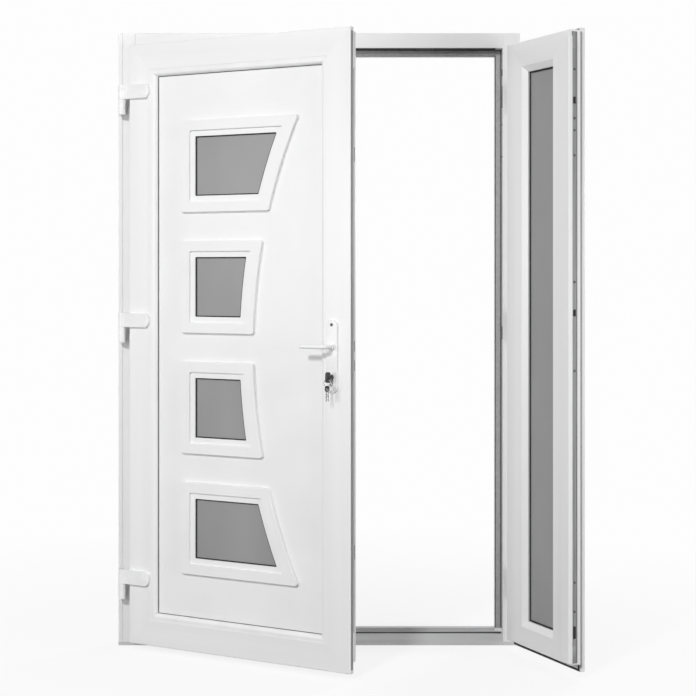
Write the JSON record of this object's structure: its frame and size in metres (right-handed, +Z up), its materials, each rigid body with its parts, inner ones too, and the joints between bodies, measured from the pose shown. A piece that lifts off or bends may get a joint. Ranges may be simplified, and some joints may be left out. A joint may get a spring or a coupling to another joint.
{
  "type": "double front door",
  "caption": "White plastic double front door: a wide panelled leaf with curved-edge frosted windows and a lever handle, a narrow glazed leaf, and a frame on a metal threshold.",
  "frame": {"origin": "centre of the underside of the threshold", "axes": "+X along the wall to the right seen from indoors, +Y outdoors, +Z up"},
  "size_m": [1.5615, 0.5789, 2.135],
  "materials": {
    "profile_white": "satin",
    "panel_white": "satin",
    "frosted_glass": "frosted",
    "threshold_metal": "satin",
    "hinge_white": "gloss",
    "handle_white": "gloss",
    "nickel": "satin",
    "key_head": "satin",
    "lock_steel": "satin"
  },
  "bodies": {
    "frame": {"left_jamb": "profile_white", "right_jamb": "profile_white", "head": "profile_white", "threshold_base": "threshold_metal", "threshold_bar": "threshold_metal", "left_hinge_barrel_1": "hinge_white", "left_hinge_barrel_2": "hinge_white", "left_hinge_barrel_3": "hinge_white", "right_hinge_barrel_1": "hinge_white", "right_hinge_barrel_2": "hinge_white", "right_hinge_barrel_3": "hinge_white"},
    "main_leaf": {"main_hinge_stile": "profile_white", "main_lock_stile": "profile_white", "main_top_rail": "profile_white", "main_bottom_rail": "profile_white", "main_glazing_beads": "profile_white", "door_panel": "panel_white", "window_surround_1": "panel_white", "window_surround_2": "panel_white", "window_surround_3": "panel_white", "window_surround_4": "panel_white", "window_pane_1": "frosted_glass", "window_pane_2": "frosted_glass", "window_pane_3": "frosted_glass", "window_pane_4": "frosted_glass", "main_hinge_flag_1": "hinge_white", "main_hinge_flag_2": "hinge_white", "main_hinge_flag_3": "hinge_white", "handle_plate_inside": "handle_white", "handle_plate_outside": "handle_white", "lock_cylinder": "nickel", "key": "key_head", "key_ring": "nickel", "spare_keys": "nickel", "lock_faceplate": "lock_steel"},
    "lever": {"lever_inside": "handle_white", "lever_outside": "handle_white"},
    "side_leaf": {"side_hinge_stile": "profile_white", "side_lock_stile": "profile_white", "side_top_rail": "profile_white", "side_bottom_rail": "profile_white", "side_glazing_beads": "profile_white", "side_pane": "frosted_glass", "side_hinge_flag_1": "hinge_white", "side_hinge_flag_2": "hinge_white", "side_hinge_flag_3": "hinge_white", "flying_mullion": "profile_white", "strike_rail": "lock_steel"}
  },
  "joints": [
    {"name": "main_leaf_hinge", "type": "hinge", "parent": "frame", "child": "main_leaf", "pos_m": [-0.684, -0.065, 0], "axis": [0, 0, -1], "range_deg": [-30, 80]},
    {"name": "side_leaf_hinge", "type": "hinge", "parent": "frame", "child": "side_leaf", "pos_m": [0.684, -0.065, 0], "axis": [0, 0, 1], "range_deg": [-114, 6]},
    {"name": "lever_turn", "type": "hinge", "parent": "main_leaf", "child": "lever", "pos_m": [0.04952, -0.4885, 1.063], "axis": [-0.5, -0.866, 0], "range_deg": [0, 45], "stiffness_Nm_per_rad": 1, "springref_deg": -57.3}
  ]
}
